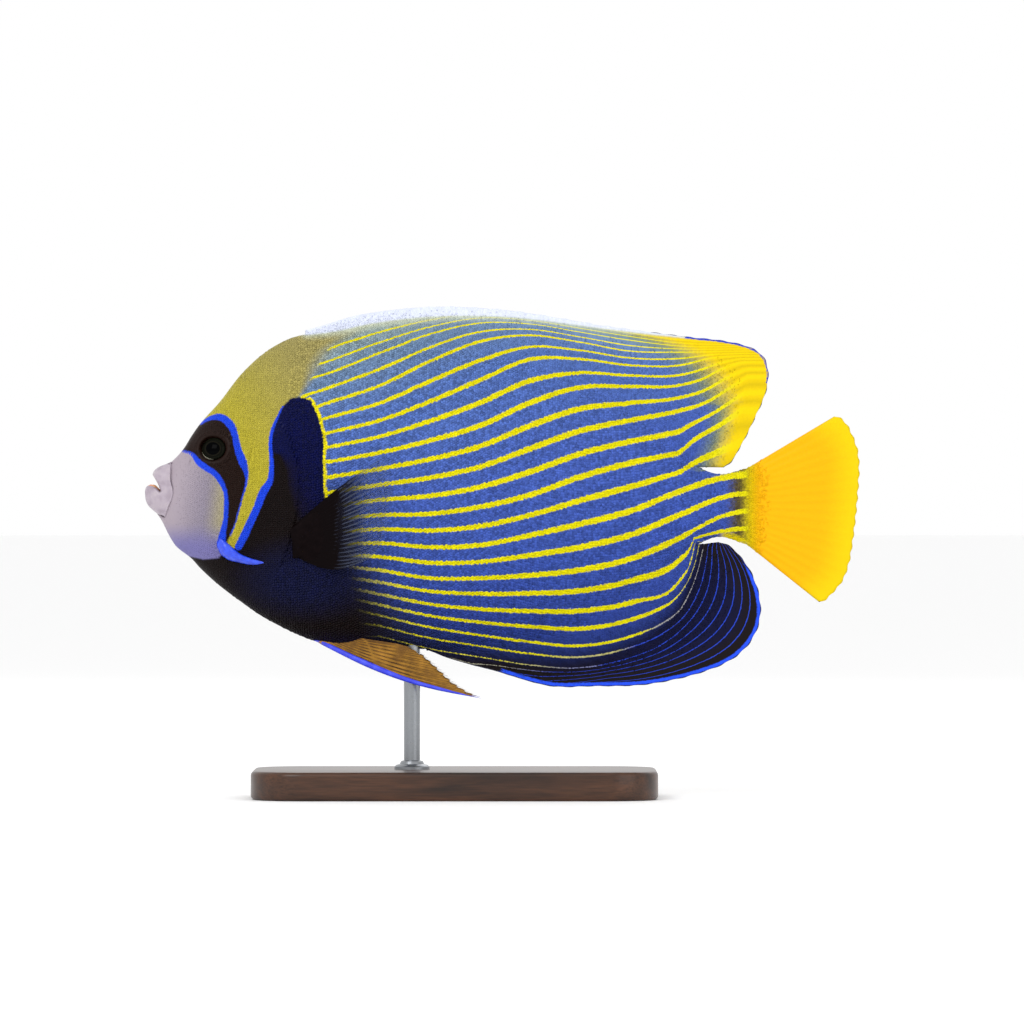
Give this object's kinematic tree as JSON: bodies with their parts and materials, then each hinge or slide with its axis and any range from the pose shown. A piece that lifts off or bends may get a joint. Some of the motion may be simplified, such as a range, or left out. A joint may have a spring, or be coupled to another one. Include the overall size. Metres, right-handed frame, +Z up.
{
  "type": "emperor angelfish display model",
  "caption": "Life-size still model of an emperor angelfish swimming level, held by one rod on a flat display base.",
  "frame": {"origin": "middle of the whole model's box at the underside of the stand's base", "axes": "-X towards the snout and +X towards the tail, +Z up, the fish's left side faces -Y"},
  "size_m": [0.3002, 0.092, 0.2065],
  "materials": {
    "painted_head": "painted cast head, satin, with a dark mask, blue lines and a yellow nape",
    "painted_lips": "painted cast lips, satin, pale violet grey with a warm mouth edge",
    "blue_spine": "painted cast spine, satin blue",
    "glass_eye": "domed glass eye, dark olive with a black pupil",
    "striped_flank": "painted cast flank with scales, blue with yellow stripes",
    "pale_dorsal": "painted cast fin, pale lavender rim over fading stripes",
    "yellow_lobe": "painted cast fin, blue with yellow stripes fading to a yellow lobe",
    "dark_anal_fin": "painted cast fin, blue black with thin blue lines and a blue rim",
    "yellow_tail": "painted cast fin, warm yellow",
    "dark_pectoral": "painted cast fin, dark root and clear smoky rays",
    "ochre_pelvic": "painted cast fin, ochre with dark rays and a blue front edge",
    "dark_wood_base": "dark lacquered wood",
    "steel_rod": "brushed steel"
  },
  "bodies": {
    "root": {"head": "painted_head", "gill_cover_left": "painted_head", "gill_cover_right": "painted_head", "upper_jaw": "painted_lips", "lower_jaw": "painted_lips", "cheek_spine_left": "blue_spine", "cheek_spine_right": "blue_spine", "eye_left": "glass_eye", "eye_right": "glass_eye", "torso": "striped_flank", "tail_root": "striped_flank", "dorsal_fin_spiny": "pale_dorsal", "dorsal_fin_soft": "yellow_lobe", "anal_fin_spiny": "dark_anal_fin", "anal_fin_soft": "dark_anal_fin", "tail_fin": "yellow_tail", "pectoral_fin_left": "dark_pectoral", "pectoral_fin_right": "dark_pectoral", "pelvic_fin_left": "ochre_pelvic", "pelvic_fin_right": "ochre_pelvic", "stand_base": "dark_wood_base", "stand_rod": "steel_rod"}
  },
  "joints": []
}
